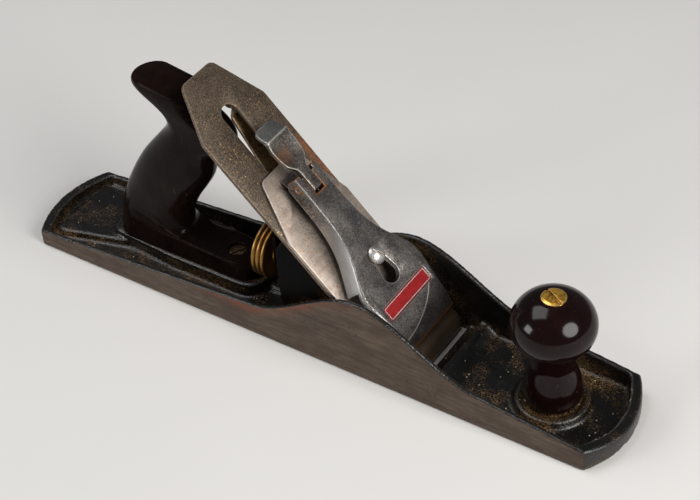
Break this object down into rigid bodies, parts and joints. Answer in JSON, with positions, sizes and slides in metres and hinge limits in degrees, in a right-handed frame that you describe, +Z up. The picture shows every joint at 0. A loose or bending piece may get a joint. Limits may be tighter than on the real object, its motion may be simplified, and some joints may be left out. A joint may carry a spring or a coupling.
{
  "type": "bench plane",
  "caption": "Iron bench hand plane with a pitched iron, cap iron, lever cap with cam, brass depth wheel, lateral lever, turned front knob and shaped rear tote.",
  "frame": {"origin": "middle of the sole's footprint, on the face that rests on the work", "axes": "+X towards the toe, +Y to the left side, +Z up"},
  "size_m": [0.3556, 0.0604, 0.1336],
  "materials": {
    "cast_body": "japanned inside, ground and browned sides",
    "japanning": "gloss black japanning",
    "steel": "dull machined steel",
    "tarnished_steel": "browned steel",
    "iron_steel": "browned, speckled tool steel",
    "cap_iron_steel": "satin steel",
    "nickel": "worn nickel plate",
    "brass": "old brass",
    "black_lacquer": "gloss black lacquered hardwood",
    "dark_lacquer": "gloss dark lacquered hardwood"
  },
  "bodies": {
    "body": {"bed": "cast_body", "frog_screws": "steel", "frog_washers": "steel", "tote": "black_lacquer", "tote_rod": "steel", "tote_nut": "brass", "tote_toe_screw": "tarnished_steel", "knob": "dark_lacquer", "knob_rod": "steel", "knob_nut": "brass"},
    "frog": {"frog": "japanning", "frog_adjusting_clip": "steel", "frog_clip_screw": "steel", "depth_nut_stud": "steel", "yoke_pin": "steel", "lateral_rivet": "steel"},
    "adjusting_screw": {"frog_adjusting_screw": "steel"},
    "depth_wheel": {"depth_nut": "brass"},
    "yoke": {"yoke_lever": "japanning"},
    "lateral": {"lateral_lever": "tarnished_steel", "lateral_disc": "steel"},
    "breaker": {"cap_iron": "cap_iron_steel", "cap_iron_screw": "steel"},
    "iron": {"plane_iron": "iron_steel"},
    "cap_screw": {"lever_cap_screw": "nickel"},
    "cap": {"lever_cap": "nickel", "cam_pin": "steel", "cap_spring": "steel", "spring_rivet": "steel"},
    "cam": {"cam_lever": "nickel"}
  },
  "joints": [
    {"name": "frog_slide", "type": "slide", "parent": "body", "child": "frog", "axis": [1, 0, 0], "range_m": [-0.0015, 0.0015]},
    {"name": "adjusting_screw_turn", "type": "hinge", "parent": "frog", "child": "adjusting_screw", "pos_m": [-0.015, 0, 0.0115], "axis": [1, 0, 0], "range_deg": [-426, 426]},
    {"name": "iron_depth", "type": "slide", "parent": "frog", "child": "breaker", "axis": [0.7071, 0, -0.7071], "range_m": [-0.0015, 0.0015]},
    {"name": "depth_wheel_turn", "type": "hinge", "parent": "frog", "child": "depth_wheel", "pos_m": [-0.028, 0, 0.0345], "axis": [1, 0, 0], "range_deg": [-352, 352]},
    {"name": "yoke_swing", "type": "hinge", "parent": "frog", "child": "yoke", "pos_m": [-0.002, 0, 0.047], "axis": [0, 1, 0], "range_deg": [-4.8, 4.8]},
    {"name": "iron_skew", "type": "hinge", "parent": "breaker", "child": "iron", "pos_m": [0.05162, 0, 0.01768], "axis": [0.7071, 0, 0.7071], "range_deg": [-1.33, 0.44]},
    {"name": "lateral_swing", "type": "hinge", "parent": "frog", "child": "lateral", "pos_m": [0.00283, 0, 0.06364], "axis": [0.7071, 0, 0.7071], "range_deg": [-4, 12]},
    {"name": "cap_screw_turn", "type": "hinge", "parent": "frog", "child": "cap_screw", "pos_m": [0.03571, 0, 0.05692], "axis": [0.7071, 0, 0.7071], "range_deg": [-90, 90]},
    {"name": "cap_slide", "type": "slide", "parent": "frog", "child": "cap", "axis": [-0.7071, 0, 0.7071], "range_m": [0, 0.011]},
    {"name": "cam_flip", "type": "hinge", "parent": "cap", "child": "cam", "pos_m": [-0.00184, 0, 0.0898], "axis": [0, 1, 0], "range_deg": [0, 100]}
  ],
  "couplings": [
    {"joint": "adjusting_screw_turn", "follows": "frog_slide", "rad_per_m": 4947.4},
    {"joint": "depth_wheel_turn", "follows": "iron_depth", "rad_per_m": 4080},
    {"joint": "yoke_swing", "follows": "iron_depth", "rad_per_m": 55},
    {"joint": "lateral_swing", "follows": "iron_skew", "ratio": -9}
  ]
}
